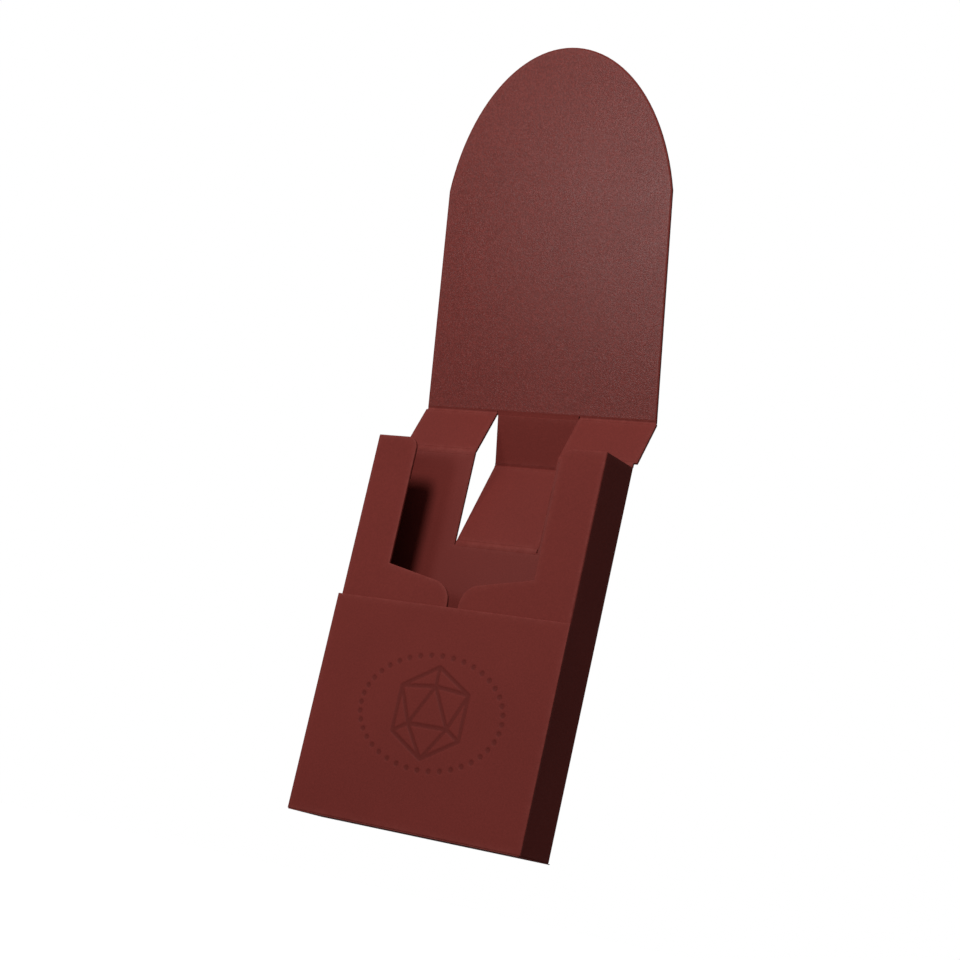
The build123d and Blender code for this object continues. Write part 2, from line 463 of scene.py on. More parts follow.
def noise(tree, vector, scale, detail=2.0, roughness=0.5):
    links = {"Vector": vector, "Scale": scale, "Detail": detail, "Roughness": roughness}
    return add(tree, "ShaderNodeTexNoise", links).outputs[0]


def mix_colour(tree, factor, first, second):
    links = {0: factor, 6: first, 7: second}
    return add(tree, "ShaderNodeMix", links, data_type="RGBA").outputs[2]


def pebble_grain_group():
    """Cells of leather grain with creases between them, fine pores and shallow hollows."""
    tree, given, result = new_group(
        "pebble_grain",
        [("Vector", "NodeSocketVector", None), ("Cell", "NodeSocketFloat", 0.5 * MM),
         ("Crease", "NodeSocketFloat", 0.5), ("Pores", "NodeSocketFloat", 0.3)],
        [("Height", "NodeSocketFloat"), ("Creases", "NodeSocketFloat"),
         ("Speckle", "NodeSocketFloat")],
    )
    vector = given.outputs["Vector"]
    scale = math_node(tree, "DIVIDE", 1.0, given.outputs["Cell"])
    stray = add(tree, "ShaderNodeTexNoise", {"Vector": vector, "Scale": scale, "Detail": 1.0})
    shift = add(tree, "ShaderNodeVectorMath", {0: stray.outputs[1], 1: (0.5, 0.5, 0.5)},
                operation="SUBTRACT")
    wander = math_node(tree, "MULTIPLY", given.outputs["Cell"], 0.9)
    moved = add(tree, "ShaderNodeVectorMath", {0: shift.outputs[0], "Scale": wander},
                operation="SCALE")
    place = add(tree, "ShaderNodeVectorMath", {0: vector, 1: moved.outputs[0]}, operation="ADD")
    cells = add(tree, "ShaderNodeTexVoronoi", {"Vector": place.outputs[0], "Scale": scale},
                feature="DISTANCE_TO_EDGE")
    crease = ramp(tree, cells.outputs["Distance"], 0.0, 0.22)
    fine = math_node(tree, "MULTIPLY", scale, 0.75)
    pores = noise(tree, vector, fine, 3.0, 0.65)
    raised = math_node(tree, "MULTIPLY", crease, given.outputs["Crease"])
    pored = math_node(tree, "MULTIPLY", pores, given.outputs["Pores"])
    height = math_node(tree, "ADD", raised, pored)
    tree.links.new(height, result.inputs["Height"])
    tree.links.new(math_node(tree, "SUBTRACT", 1.0, crease), result.inputs["Creases"])
    tree.links.new(ramp(tree, pores, 0.35, 0.7), result.inputs["Speckle"])
    return tree


def tone_group():
    """A colour with broad clouding and fine speckle."""
    tree, given, result = new_group(
        "tone_variation",
        [("Vector", "NodeSocketVector", None), ("Color", "NodeSocketColor", (0.5, 0.5, 0.5, 1)),
         ("Speckle", "NodeSocketFloat", 0.5), ("Creases", "NodeSocketFloat", 0.0),
         ("Clouding", "NodeSocketFloat", 0.12), ("Speckling", "NodeSocketFloat", 0.15),
         ("Crease Shade", "NodeSocketFloat", 0.25)],
        [("Color", "NodeSocketColor")],
    )
    vector = given.outputs["Vector"]
    broad = ramp(tree, noise(tree, vector, 38.0, 3.0, 0.55), 0.3, 0.7, -0.5, 0.5)
    cloud = math_node(tree, "MULTIPLY", broad, given.outputs["Clouding"])
    dots = math_node(tree, "SUBTRACT", given.outputs["Speckle"], 0.5)
    speckle = math_node(tree, "MULTIPLY", dots, given.outputs["Speckling"])
    seam = math_node(tree, "MULTIPLY", given.outputs["Creases"], given.outputs["Crease Shade"])
    gain = math_node(tree, "ADD", math_node(tree, "ADD", 1.0, cloud), speckle)
    gain = math_node(tree, "SUBTRACT", gain, seam)
    toned = add(tree, "ShaderNodeVectorMath", {0: given.outputs["Color"], "Scale": gain},
                operation="SCALE")
    tree.links.new(toned.outputs[0], result.inputs["Color"])
    return tree


def edge_wear_and_highlight_group():
    """Rubs a colour towards a lighter one where the edge attribute is high, in broken patches: edge rubbing
    together with a painted highlight.
    """
    tree, given, result = new_group(
        "edge_wear_and_highlight",
        [("Vector", "NodeSocketVector", None), ("Color", "NodeSocketColor", (0.5, 0.5, 0.5, 1)),
         ("Worn And Highlit Color", "NodeSocketColor", (0.6, 0.6, 0.6, 1)), ("Worn And Highlit", "NodeSocketFloat", 0.0),
         ("Amount", "NodeSocketFloat", 0.3)],
        [("Color", "NodeSocketColor"), ("Mask", "NodeSocketFloat")],
    )
    broken = ramp(tree, noise(tree, given.outputs["Vector"], 420.0, 4.0, 0.65), 0.35, 0.72)
    ragged = math_node(tree, "MULTIPLY", broken, given.outputs["Worn And Highlit"])
    rubbed = math_node(tree, "ADD", ragged, math_node(tree, "MULTIPLY", given.outputs["Worn And Highlit"], 0.4))
    mask = math_node(tree, "MULTIPLY", rubbed, given.outputs["Amount"])
    mixed = mix_colour(tree, mask, given.outputs["Color"], given.outputs["Worn And Highlit Color"])
    tree.links.new(mixed, result.inputs["Color"])
    tree.links.new(mask, result.inputs["Mask"])
    return tree


SHARED = {}


def shared(name, build):
    """A node group or material, built once."""
    if name not in SHARED:
        SHARED[name] = build()
    return SHARED[name]


def grouped(tree, group, links):
    """A node that places a shader group, with its own values."""
    return add(tree, "ShaderNodeGroup", links, node_tree=group)


def new_material(name):
    """An empty material, its Principled shader and the piece's object coordinates."""
    material = bpy.data.materials.new(name)
    material.use_nodes = True
    tree = material.node_tree
    shader = tree.nodes["Principled BSDF"]
    place = add(tree, "ShaderNodeTexCoord").outputs["Object"]
    return material, tree, shader, place


def surface(tree, shader, colour_out, rough, height, strength, depth):
    """Links a material's colour, roughness and bump to its shader."""
    bump = add(tree, "ShaderNodeBump",
               {"Height": height, "Strength": strength, "Distance": depth})
    tree.links.new(colour_out, shader.inputs["Base Color"])
    tree.links.new(rough, shader.inputs["Roughness"])
    tree.links.new(bump.outputs["Normal"], shader.inputs["Normal"])


# Shared by every leather
PORES = 0.45            # depth of the pores against the creases
CLOUDING = 0.05         # how much the colour drifts from place to place
CREASE_SHADE = 0.10     # how much darker a crease is
GRAIN_DEPTH = 0.06 * MM
PRESSED_SHADE = 0.76    # colour of pressed leather against the colour round it

LOOKS = {
    "outer_leatherette": dict(
        colour="outer", rough=0.60, gloss=0.05, crease=0.35, cell=1.0, bump=0.3, speckle=0.10),
    "lining_leatherette": dict(
        colour="lining", rough=0.45, gloss=0.08, crease=0.25, cell=0.8, bump=0.3, speckle=0.14),
    "handled_lining": dict(
        colour="lining", rough=0.31, gloss=0.27, crease=0.4, cell=1.2, bump=0.6, speckle=0.34),
    "fold_leather": dict(
        colour="outer", rough=0.60, gloss=0.06, crease=0.6, cell=1.0, bump=0.35, speckle=0.12),
}


def leather(look_name):
    """Leatherette in one of the looks, built once."""
    return shared(look_name, lambda: leather_material(look_name))


def leather_material(look_name):
    """Grained leatherette: soft clouding, edges lightened by rubbing and a painted highlight, and darker,
    smoother pressed lines.
    """
    look = LOOKS[look_name]
    finish = settings("finish")
    material, tree, shader, place = new_material(f"{look_name}_finish")
    base = (*getattr(finish, look["colour"]), 1)
    grain = grouped(tree, shared("grain", pebble_grain_group), {
        "Vector": place, "Cell": finish.grain * look["cell"],
        "Crease": look["crease"], "Pores": PORES,
    })
    tone = grouped(tree, shared("tone", tone_group), {
        "Vector": place, "Color": base, "Speckle": grain.outputs["Speckle"],
        "Creases": grain.outputs["Creases"], "Clouding": CLOUDING,
        "Speckling": look["speckle"], "Crease Shade": CREASE_SHADE,
    })
    # lighter colour on the edges and the body's corners: rubbing, and a painted highlight
    worn_and_highlit = add(tree, "ShaderNodeAttribute", attribute_name="worn_and_highlit").outputs["Fac"]
    wear_and_highlight = grouped(tree, shared("wear_and_highlight", edge_wear_and_highlight_group), {
        "Vector": place, "Color": tone.outputs["Color"], "Worn And Highlit Color": (*finish.worn_and_highlit, 1),
        "Worn And Highlit": worn_and_highlit, "Amount": finish.wear_and_highlight,
    })
    pressed = add(tree, "ShaderNodeAttribute", attribute_name="pressed").outputs["Fac"]
    dark = add(tree, "ShaderNodeVectorMath", {0: wear_and_highlight.outputs["Color"], "Scale": PRESSED_SHADE},
               operation="SCALE").outputs[0]
    shade = mix_colour(tree, pressed, wear_and_highlight.outputs["Color"], dark)
    polish = ramp(tree, noise(tree, place, 60.0, 3.0), 0.3, 0.7, look["rough"] - 0.01,
                  look["rough"] + 0.015)
    smoother = math_node(tree, "MULTIPLY", pressed, -0.1)
    rough = math_node(tree, "ADD", polish, smoother)
    surface(tree, shader, shade, rough, grain.outputs["Height"], look["bump"], GRAIN_DEPTH)
    shader.inputs["Specular IOR Level"].default_value = look["gloss"]
    return material


def board_material():
    """Grey pressed board: matted fibres, flecks and a soft matte face."""
    material, tree, shader, place = new_material("grey_board_finish")
    base = Vector(settings("finish").board)
    stretch = add(tree, "ShaderNodeMapping", {"Vector": place, "Scale": (900, 2600, 900)})
    fibres = noise(tree, stretch.outputs["Vector"], 1.0, 5.0, 0.7)
    flecks = ramp(tree, noise(tree, place, 1500.0, 2.0), 0.62, 0.75)
    light = (*(base * 1.25), 1)
    matted = mix_colour(tree, ramp(tree, fibres, 0.3, 0.7), (*(base * 0.8), 1), light)
    flecked = mix_colour(tree, flecks, matted, (*(base * 0.45), 1))
    rough = ramp(tree, fibres, 0.2, 0.8, 0.86, 0.96)
    surface(tree, shader, flecked, rough, fibres, 0.5, 0.05 * MM)
    return material


def nickel_material():
    """Nickel plating with fine turned rings and faint handling marks."""
    material, tree, shader, place = new_material("nickel_finish")
    base = Vector(settings("finish").nickel)
    streaks = add(tree, "ShaderNodeMapping", {"Vector": place, "Scale": (400, 400, 6000)})
    brushed = noise(tree, streaks.outputs["Vector"], 1.0, 3.0)
    marks = ramp(tree, noise(tree, place, 700.0, 4.0), 0.4, 0.7)
    tone = mix_colour(tree, marks, (*base, 1), (*(base * 0.8), 1))
    rough = ramp(tree, brushed, 0.2, 0.8, 0.22, 0.38)
    surface(tree, shader, tone, rough, brushed, 0.2, 0.02 * MM)
    shader.inputs["Metallic"].default_value = 1.0
    return material


# ---------------------------------------------------------------- the body, folded up

def folded_place(across, out):
    """Where a point of the body's flat pattern lies once it is folded round the box.

    Across runs from the middle of the back, round the side, to the middle of the front.
    """
    radius = settings("leather").corner_round
    centre = Vector((BODY_HIGH.x, BODY_HIGH.y)) - Vector((1, 1)) * (PANEL_HALF + radius)
    bend = radius * pi / 2
    away = radius + out
    mitre = min(away, 0.0)  # inside a tight corner the two faces meet in a mitre
    side = -1 if across < 0 else 1
    run = abs(across)
    if run <= centre.x:
        flat = Vector((min(run, centre.x + mitre), centre.y + away))
    elif run < centre.x + bend:
        turn = (run - centre.x) / radius
        round_it = Vector((sin(turn), cos(turn))) if away > 0 else Vector((1, 1))
        flat = centre + round_it * away
    elif run <= centre.x + bend + 2 * centre.y:
        forward = min(max(run - centre.x - bend, -mitre), 2 * centre.y + mitre)
        flat = Vector((centre.x + away, centre.y - forward))
    elif run < centre.x + 2 * bend + 2 * centre.y:
        turn = (run - centre.x - bend - 2 * centre.y) / radius
        round_it = Vector((cos(turn), -sin(turn))) if away > 0 else Vector((1, -1))
        flat = Vector((centre.x, -centre.y)) + round_it * away
    else:
        rest = max(run - centre.x - 2 * bend - 2 * centre.y, -mitre)
        flat = Vector((centre.x - rest, -(centre.y + away)))
    return Vector((side * flat.x, flat.y))


def body_runs():
    """Half the way round the body's mid-plane, and where its two corners start and end."""
    radius = settings("leather").corner_round
    centre_x = BODY_HIGH.x - PANEL_HALF - radius
    centre_y = BODY_HIGH.y - PANEL_HALF - radius
    bend = radius * pi / 2
    corners = [(centre_x, centre_x + bend)]
    corners.append((corners[0][1] + 2 * centre_y, corners[0][1] + 2 * centre_y + bend))
    return corners[1][1] + centre_x, corners


def body_pattern():
    """Flat pattern of back, sides and flaps: notched for the middle strip, cut for the window."""
    cut = settings("window")
    around, corners = body_runs()
    low = BODY_LOW.z
    notch_z = MIDDLE_FOLD.y - FOLD_GAP
    step = sum(corners[0]) / 2
    half = [
        (NOTCH_HALF, notch_z),
        (NOTCH_HALF, BODY_HIGH.z),
        (step, BODY_HIGH.z),
        (step, FLAP_TOP),
        (around - cut.half, FLAP_TOP, cut.top_round),
        (around - cut.half, cut.corner_z),
        (around - SLOT_HALF, cut.shoulder_z, cut.shoulder_round),
        (around - SLOT_HALF, low),
    ]
    mirrored = [(-c[0], *c[1:]) for c in half]
    return outline(mirrored[::-1] + half)[::-1]


def build_body():
    """The wrapped skin and the lining of back, sides and flaps."""
    corners = body_runs()[1]
    places = []
    for start, end in corners:
        places += evenly(start, end, (end - start) / 6)
        places += [start - CORNER_WEAR_AND_HIGHLIGHT, start - CORNER_WEAR_AND_HIGHLIGHT / 3]
        places += [end + CORNER_WEAR_AND_HIGHLIGHT / 3, end + CORNER_WEAR_AND_HIGHLIGHT]
    for layer, profile, slot in LAYERS:
        bm = shell(body_pattern(), profile())
        cut_across(bm, 0, places + [-p for p in places])
        worn_and_highlit = bm.verts.layers.float["worn_and_highlit"]
        for vert in bm.verts:
            run = abs(vert.co.x)
            away = min(max(start - run, run - end, 0.0) for start, end in corners)
            # the body's corners get extra rubbing and a painted highlight along them
            vert[worn_and_highlit] = max(vert[worn_and_highlit], 0.8 * max(0.0, 1 - away / CORNER_WEAR_AND_HIGHLIGHT) ** 2)
            flat = folded_place(vert.co.x, vert.co.y)
            vert.co = (flat.x, flat.y, vert.co.z)
        bmesh.ops.remove_doubles(bm, verts=bm.verts, dist=1e-7)
        piece = link_mesh(bm, f"body_{layer}_leather", leather(slot))
        dress(piece, [f"body_{layer}"], "box")


# ---------------------------------------------------------------- panels

def flat_piece(name, node, slot):
    """A flat piece of leather with rounded edges, in place of one of the model's nodes."""
    low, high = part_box(node)
    half = (high.z - low.z) / 2
    reach = settings("leather").wear_and_highlight_reach
    profile = [(reach * s, half) for s in WEAR_AND_HIGHLIGHT_STEPS]
    profile += arc_profile(BASE_EDGE, half - BASE_EDGE, pi / 2, 0)
    profile += arc_profile(BASE_EDGE, BASE_EDGE - half, 0, -pi / 2)
    bm = shell(rectangle(low.x, high.x, low.y, high.y), profile)
    bm.transform(Matrix.Translation((0, 0, low.z + half)) @ Matrix.Rotation(radians(-90), 4, "X"))
    dress(link_mesh(bm, name, leather(slot)), [node], "box")


def build_base():
    """The sheet under the box, and the lining on the board between its walls."""
    flat_piece("base_sheet_leather", "base_outer_skin", "outer_leatherette")
    flat_piece("base_lining_leather", "base_lining", "lining_leatherette")


def tongue_outline():
    """Sides that draw in a little towards the shoulders, then an arch of an ellipse."""
    shape = settings("tongue")
    rise = shape.reach - shape.arch_centre
    above = (shape.shoulder - shape.arch_centre) / rise
    half = shape.shoulder_half / sqrt(1 - above**2)
    start = atan2(above, shape.shoulder_half / half)
    angles = evenly(start, pi - start, radians(3))
    arch = [Vector((half * cos(a), shape.arch_centre + rise * sin(a))) for a in angles]
    foot = [Vector((-TONGUE_FOOT_HALF, FOLD_GAP)), Vector((TONGUE_FOOT_HALF, FOLD_GAP))]
    return foot + arch


def build_tongue():
    """The tongue, whose lining is rubbed a little smoother than the others by handling."""
    cover_panel(
        "tongue", tongue_outline(), "tongue", TONGUE_FOLD, TONGUE_LEAN, "handled_lining"
    )


def build_tabs():
    """The two tabs that join the box to the tongue on either side of the middle strip."""
    for side, sign in SIDES:
        points = rectangle(sign * NOTCH_HALF, sign * TAB_HALF, FOLD_GAP, LID_RUN - FOLD_GAP)
        cover_panel(f"{side}_tab", points, "lid_strip", LID_FOLD, LID_LEAN)


def build_middle_strip():
    """The two halves of the strip that bows out behind the box."""
    for name, fold, run, lean in (
        ("middle_lower", MIDDLE_FOLD, LOWER_RUN, LOWER_LEAN),
        ("middle_upper", MIDDLE_BEND, UPPER_RUN, UPPER_LEAN),
    ):
        points = rectangle(-MIDDLE_HALF, MIDDLE_HALF, FOLD_GAP, run - FOLD_GAP)
        cover_panel(name, points, name, fold, lean)


# ---------------------------------------------------------------- folds

def fold_half(run):
    """Half the thickness of a fold's leather at a distance from its axis."""
    dip = settings("leather").fold_dip
    share_out = min(1.0, abs(run) / (FOLD_GAP + FOLD_OVERLAP))
    return FOLD_HALF + dip * share_out**2


def fold_strip(name, x_a, x_b, fold, lean_below, lean_above):
    """Leather from inside the panel below, through the fold, into the panel above."""
    reach = FOLD_GAP + FOLD_OVERLAP
    profile = arc_profile(FOLD_EDGE, FOLD_HALF - FOLD_EDGE, pi / 2, 0)
    profile += arc_profile(FOLD_EDGE, FOLD_EDGE - FOLD_HALF, 0, -pi / 2)
    bm = shell(rectangle(x_a, x_b, -reach, reach), profile)
    cut_across(bm, 2, evenly(-reach, reach, reach / 7)[1:-1])
    for vert in bm.verts:
        run = vert.co.z
        vert.co.y *= fold_half(run) / FOLD_HALF
        rise = min(max((run + reach) / (2 * reach), 0.0), 1.0)
        lean = lean_below + (lean_above - lean_below) * rise**2 * (3 - 2 * rise)
        turned = Matrix.Rotation(-lean, 3, "X") @ vert.co
        vert.co = turned + Vector((0, fold.x, fold.y))
    return link_mesh(bm, name, leather("fold_leather"))


def lean_direction(lean):
    """Upwards along a panel that leans back."""
    return Vector((0, sin(lean), cos(lean)))


def bending_fold(name, x_a, x_b, fold, bodies, leans):
    """A fold strip that bends with the joint between its two bodies."""
    piece = fold_strip(name, x_a, x_b, fold, *leans)
    reach = FOLD_GAP + FOLD_OVERLAP
    axis = Vector((0, fold.x, fold.y))
    start = axis - lean_direction(leans[0]) * reach
    end = axis + lean_direction(leans[1]) * reach
    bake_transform(piece, *bodies, start=start, end=end)
    return piece


def fold_nose(name, fold, lean):
    """Half a fold: leather out of one panel's end, with a round nose on the fold's axis."""
    reach = FOLD_GAP + FOLD_OVERLAP
    bm = bmesh.new()
    bm.verts.layers.float.new("worn_and_highlit")
    section = [Vector((fold_half(run), run)) for run in evenly(reach, 0, reach / 5)]
    round_end = [
        Vector((cos(a), sin(a))) * FOLD_HALF for a in evenly(0, -pi, radians(20))[1:-1]
    ]
    back = [Vector((-p.x, p.y)) for p in reversed(section)]
    loop = section + round_end + back
    ends = [[bm.verts.new((x, p.x, p.y)) for p in loop]
            for x in (-MIDDLE_HALF, MIDDLE_HALF)]
    for i in range(len(loop)):
        j = (i + 1) % len(loop)
        bm.faces.new((ends[0][i], ends[0][j], ends[1][j], ends[1][i]))
    for end in ends:
        bm.faces.new(end)
    bmesh.ops.recalc_face_normals(bm, faces=bm.faces)
    on_plane(bm, fold, lean)
    return link_mesh(bm, name, leather("fold_leather"))


def build_folds():
    """The living hinges: two at the lid, two at the tongue and four ends at the middle strip."""
    for side, sign in SIDES:
        near = sign * NOTCH_HALF
        lid = bending_fold(
            f"{side}_lid_fold_bend", near, sign * BODY_HIGH.x, LID_FOLD,
            ("box", "lid_strip"), (0.0, LID_LEAN),
        )
        dress(lid, [f"{side}_lid_fold_leather"])
        tongue = bending_fold(
            f"{side}_tongue_fold_bend", near, sign * TONGUE_FOOT_HALF, TONGUE_FOLD,
            ("lid_strip", "tongue"), (LID_LEAN, TONGUE_LEAN),
        )
        dress(tongue, [f"{side}_tongue_fold_leather"])
    foot = bending_fold(
        "middle_foot_fold_bend", -MIDDLE_HALF, MIDDLE_HALF, MIDDLE_FOLD,
        ("box", "middle_lower"), (0.0, LOWER_LEAN),
    )
    dress(foot, ["middle_foot_fold_leather"])
    for name, fold, lean, body, nodes in (
        ("middle_top_fold_nose", TONGUE_FOLD, TONGUE_LEAN, "tongue", ["middle_top_fold_leather"]),
        ("middle_upper_top_nose", TONGUE_FOLD, UPPER_LEAN + pi, "middle_upper", []),
        ("middle_upper_foot_nose", MIDDLE_BEND, UPPER_LEAN, "middle_upper", []),
        ("middle_bend_fold_nose", MIDDLE_BEND, LOWER_LEAN + pi, "middle_lower",
         ["middle_bend_fold_leather"]),
    ):
        dress(fold_nose(name, fold, lean), nodes, body)


# ---------------------------------------------------------------- the pressed ornament

def die_lines():
    """A twenty-sided die seen on a face: an outer hexagon, an inner triangle and their ties."""
    shape = settings("ornament")
    centre = Vector((shape.centre_x, FRONT_LOW.y, shape.centre_z))

    def spot(radius, degrees_round):
        a = radians(degrees_round)
        return centre + Vector((cos(a), 0, sin(a))) * radius

    outer = [spot(shape.die_radius, 30 + 60 * i) for i in range(6)]
    inner = [spot(shape.die_radius * 0.58, 90 + 120 * i) for i in range(3)]
    edges = [(i, (i + 1) % 6) for i in range(6)]
    edges += [(6 + i, 6 + (i + 1) % 3) for i in range(3)]
    for i in range(3):
        facing = 1 + 2 * i
        edges += [(6 + i, (facing + k) % 6) for k in (-1, 0, 1)]
    mesh = bpy.data.meshes.new("die_lines")
    mesh.from_pydata(outer + inner, edges, [])
    return new_object("die_lines", mesh)


def pressing_tree():
    """Presses drawn lines and an oval ring of pips into the face that looks to the front."""
    tree = bpy.data.node_groups.new("press_ornament", "GeometryNodeTree")
    for label, kind in (
        ("Geometry", "NodeSocketGeometry"), ("Lines", "NodeSocketObject"),
        ("Centre", "NodeSocketVector"), ("Ring", "NodeSocketVector"), ("Pips", "NodeSocketInt"),
        ("Pip Radius", "NodeSocketFloat"), ("Line Half Width", "NodeSocketFloat"),
        ("Flank", "NodeSocketFloat"), ("Depth", "NodeSocketFloat"),
        ("Material", "NodeSocketMaterial"),
    ):
        tree.interface.new_socket(name=label, in_out="INPUT", socket_type=kind)
    tree.interface.new_socket(
        name="Geometry", in_out="OUTPUT", socket_type="NodeSocketGeometry"
    )
    given = tree.nodes.new("NodeGroupInput")
    result = tree.nodes.new("NodeGroupOutput")
    lines = add(tree, "GeometryNodeObjectInfo", {"Object": given.outputs["Lines"]})
    to_lines = add(tree, "GeometryNodeProximity", {0: lines.outputs["Geometry"]},
                   target_element="EDGES")
    circle = add(tree, "GeometryNodeMeshCircle", {"Vertices": given.outputs["Pips"], "Radius": 1.0})
    ring = add(tree, "GeometryNodeTransform", {
        "Geometry": circle.outputs[0], "Translation": given.outputs["Centre"],
        "Rotation": (radians(90), 0, 0), "Scale": given.outputs["Ring"],
    })
    to_pips = add(tree, "GeometryNodeProximity", {0: ring.outputs[0]}, target_element="POINTS")
    from_line = math_node(tree, "SUBTRACT", to_lines.outputs["Distance"],
                          given.outputs["Line Half Width"])
    from_pip = math_node(tree, "SUBTRACT", to_pips.outputs["Distance"],
                         given.outputs["Pip Radius"])
    nearest = math_node(tree, "MINIMUM", from_line, from_pip)
    pressed = ramp(tree, nearest, 0.0, given.outputs["Flank"], 1.0, 0.0)
    facing = add(tree, "ShaderNodeSeparateXYZ", {0: add(tree, "GeometryNodeInputNormal").outputs[0]})
    front = math_node(tree, "LESS_THAN", facing.outputs["Y"], -0.9)
    mask = math_node(tree, "MULTIPLY", pressed, front)
    marked = add(tree, "GeometryNodeStoreNamedAttribute", {
        "Geometry": given.outputs["Geometry"], "Name": "pressed", "Value": mask,
    }, data_type="FLOAT", domain="POINT")
    kept = add(tree, "GeometryNodeInputNamedAttribute", {"Name": "pressed"}, data_type="FLOAT")
    sink = math_node(tree, "MULTIPLY", kept.outputs[0], given.outputs["Depth"])
    offset = add(tree, "ShaderNodeCombineXYZ", {"Y": sink})
    sunk = add(tree, "GeometryNodeSetPosition", {
        "Geometry": marked.outputs[0], "Offset": offset.outputs[0],
    })
    real = add(tree, "GeometryNodeRealizeInstances", {0: sunk.outputs[0]})
    dressed = add(tree, "GeometryNodeSetMaterial", {
        "Geometry": real.outputs[0], "Material": given.outputs["Material"],
    })
    tree.links.new(dressed.outputs[0], result.inputs[0])
    return tree


def run_tree(piece, tree, values):
    """Runs a Geometry Nodes tree on a piece and keeps the result as its plain mesh."""
    modifier = piece.modifiers.new(tree.name, "NODES")
    modifier.node_group = tree
    sockets = {
        s.name: s.identifier for s in tree.interface.items_tree
        if s.item_type == "SOCKET" and s.in_out == "INPUT"
    }
    for label, value in values.items():
        modifier[sockets[label]] = value
    depsgraph = bpy.context.evaluated_depsgraph_get()
    mesh = bpy.data.meshes.new_from_object(piece.evaluated_get(depsgraph))
    piece.modifiers.remove(modifier)
    piece.data = mesh


def build_lower_front():
    """The panel over the flaps' lower half, with the ornament pressed into its cover."""
    shape = settings("ornament")
    points = rectangle(FRONT_LOW.x, FRONT_HIGH.x, FRONT_LOW.z, FRONT_HIGH.z)
    turned = Matrix.Translation((0, FRONT_LOW.y + PANEL_HALF, 0)) @ Matrix.Rotation(pi, 4, "Z")
    margin = shape.pip_radius + 2 * shape.flank
    half_x = shape.ring_width + margin
    half_z = shape.ring_height + margin

    bm = shell(points, cover_profile())
    cut_across(bm, 0, evenly(-shape.centre_x - half_x, -shape.centre_x + half_x, shape.cell))
    cut_across(bm, 2, evenly(shape.centre_z - half_z, shape.centre_z + half_z, shape.cell))
    bm.transform(turned)
    material = leather("outer_leatherette")
    cover = link_mesh(bm, "lower_front_outer_skin_leather", material)
    lines = die_lines()
    run_tree(cover, pressing_tree(), {
        "Lines": lines, "Centre": (shape.centre_x, FRONT_LOW.y, shape.centre_z),
        "Ring": (shape.ring_width, shape.ring_height, 1.0), "Pips": shape.pips,
        "Pip Radius": shape.pip_radius, "Line Half Width": shape.line_width / 2,
        "Flank": shape.flank, "Depth": shape.depth, "Material": material,
    })
    bpy.data.objects.remove(lines)
    smooth(cover.data)
    dress(cover, ["lower_front_outer_skin"], "box")

    bm = shell(points, lining_profile())
    bm.transform(turned)
    lining = link_mesh(bm, "lower_front_lining_leather", leather("lining_leatherette"))
    dress(lining, ["lower_front_lining"], "box")


# ---------------------------------------------------------------- boards and magnets

def finish_inner_parts():
    """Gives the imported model's own boards and magnets their materials."""
    board = board_material()
    nickel = nickel_material()
    for name, node in frame["nodes"].items():
        if name.endswith("_board"):
            finish = board
        elif "magnet" in name or "keeper" in name:
            finish = nickel
        else:
            continue
        node.data.materials.clear()
        node.data.materials.append(finish)


# ---------------------------------------------------------------- stage

def white_to_camera(tree, lit, seen):
    """A shader that shows its bright side to the camera and a dim one to everything else."""
    path = add(tree, "ShaderNodeLightPath")
    return add(tree, "ShaderNodeMixShader", {0: path.outputs["Is Camera Ray"], 1: lit, 2: seen})


def build_floor():
    """A pale round floor that glows more with distance, so that it runs into the room."""
    studio = settings("studio")
    bm = bmesh.new()
    bmesh.ops.create_circle(bm, cap_ends=True, segments=96, radius=6.0)
    bmesh.ops.translate(bm, verts=bm.verts, vec=(0, 0, studio.floor_z))
    mesh = bpy.data.meshes.new("studio_floor")
    bm.to_mesh(mesh)
    bm.free()
    material = bpy.data.materials.new("pale_floor")
    material.use_nodes = True
    tree = material.node_tree
    tree.nodes.remove(tree.nodes["Principled BSDF"])
    dim = add(tree, "ShaderNodeBsdfDiffuse", {"Color": (0.16, 0.16, 0.16, 1)})
    pale = add(tree, "ShaderNodeBsdfDiffuse", {"Color": (0.9, 0.9, 0.9, 1)})
    place = add(tree, "ShaderNodeTexCoord").outputs["Object"]
    away = add(tree, "ShaderNodeVectorMath", {0: place}, operation="LENGTH").outputs["Value"]
    bright = ramp(tree, away, 0.25, 1.2, 0.5, 1.0)
    glow = add(tree, "ShaderNodeEmission", {"Color": (1, 1, 1, 1), "Strength": bright})
    both = add(tree, "ShaderNodeAddShader", {0: pale.outputs[0], 1: glow.outputs[0]})
    mixed = white_to_camera(tree, dim.outputs[0], both.outputs[0])
    tree.links.new(mixed.outputs[0], tree.nodes["Material Output"].inputs["Surface"])
    mesh.materials.append(material)
    new_object("studio_floor", mesh)


def build_world():
    """A plain room: white behind the object, and an even dim light on it."""
    world = bpy.data.worlds.new("studio_room")
    world.use_nodes = True
    tree = world.node_tree
    tree.nodes.clear()
    strength = settings("studio").ambient
    dim = add(tree, "ShaderNodeBackground", {"Color": (1, 1, 1, 1), "Strength": strength})
    seen = add(tree, "ShaderNodeBackground", {"Color": (1, 1, 1, 1), "Strength": 1.0})
    mixed = white_to_camera(tree, dim.outputs[0], seen.outputs[0])
    output = add(tree, "ShaderNodeOutputWorld")
    tree.links.new(mixed.outputs[0], output.inputs["Surface"])
    bpy.context.scene.world = world


def area_light(name, place, aim, size, watts):
    """A round soft light that points at a place."""
    lamp = bpy.data.lights.new(name, "AREA")
    lamp.shape = "DISK"
    lamp.size = size
    lamp.energy = watts
    light = new_object(name, lamp)
    light.location = place
    light.rotation_euler = (Vector(aim) - Vector(place)).to_track_quat("-Z", "Y").to_euler()


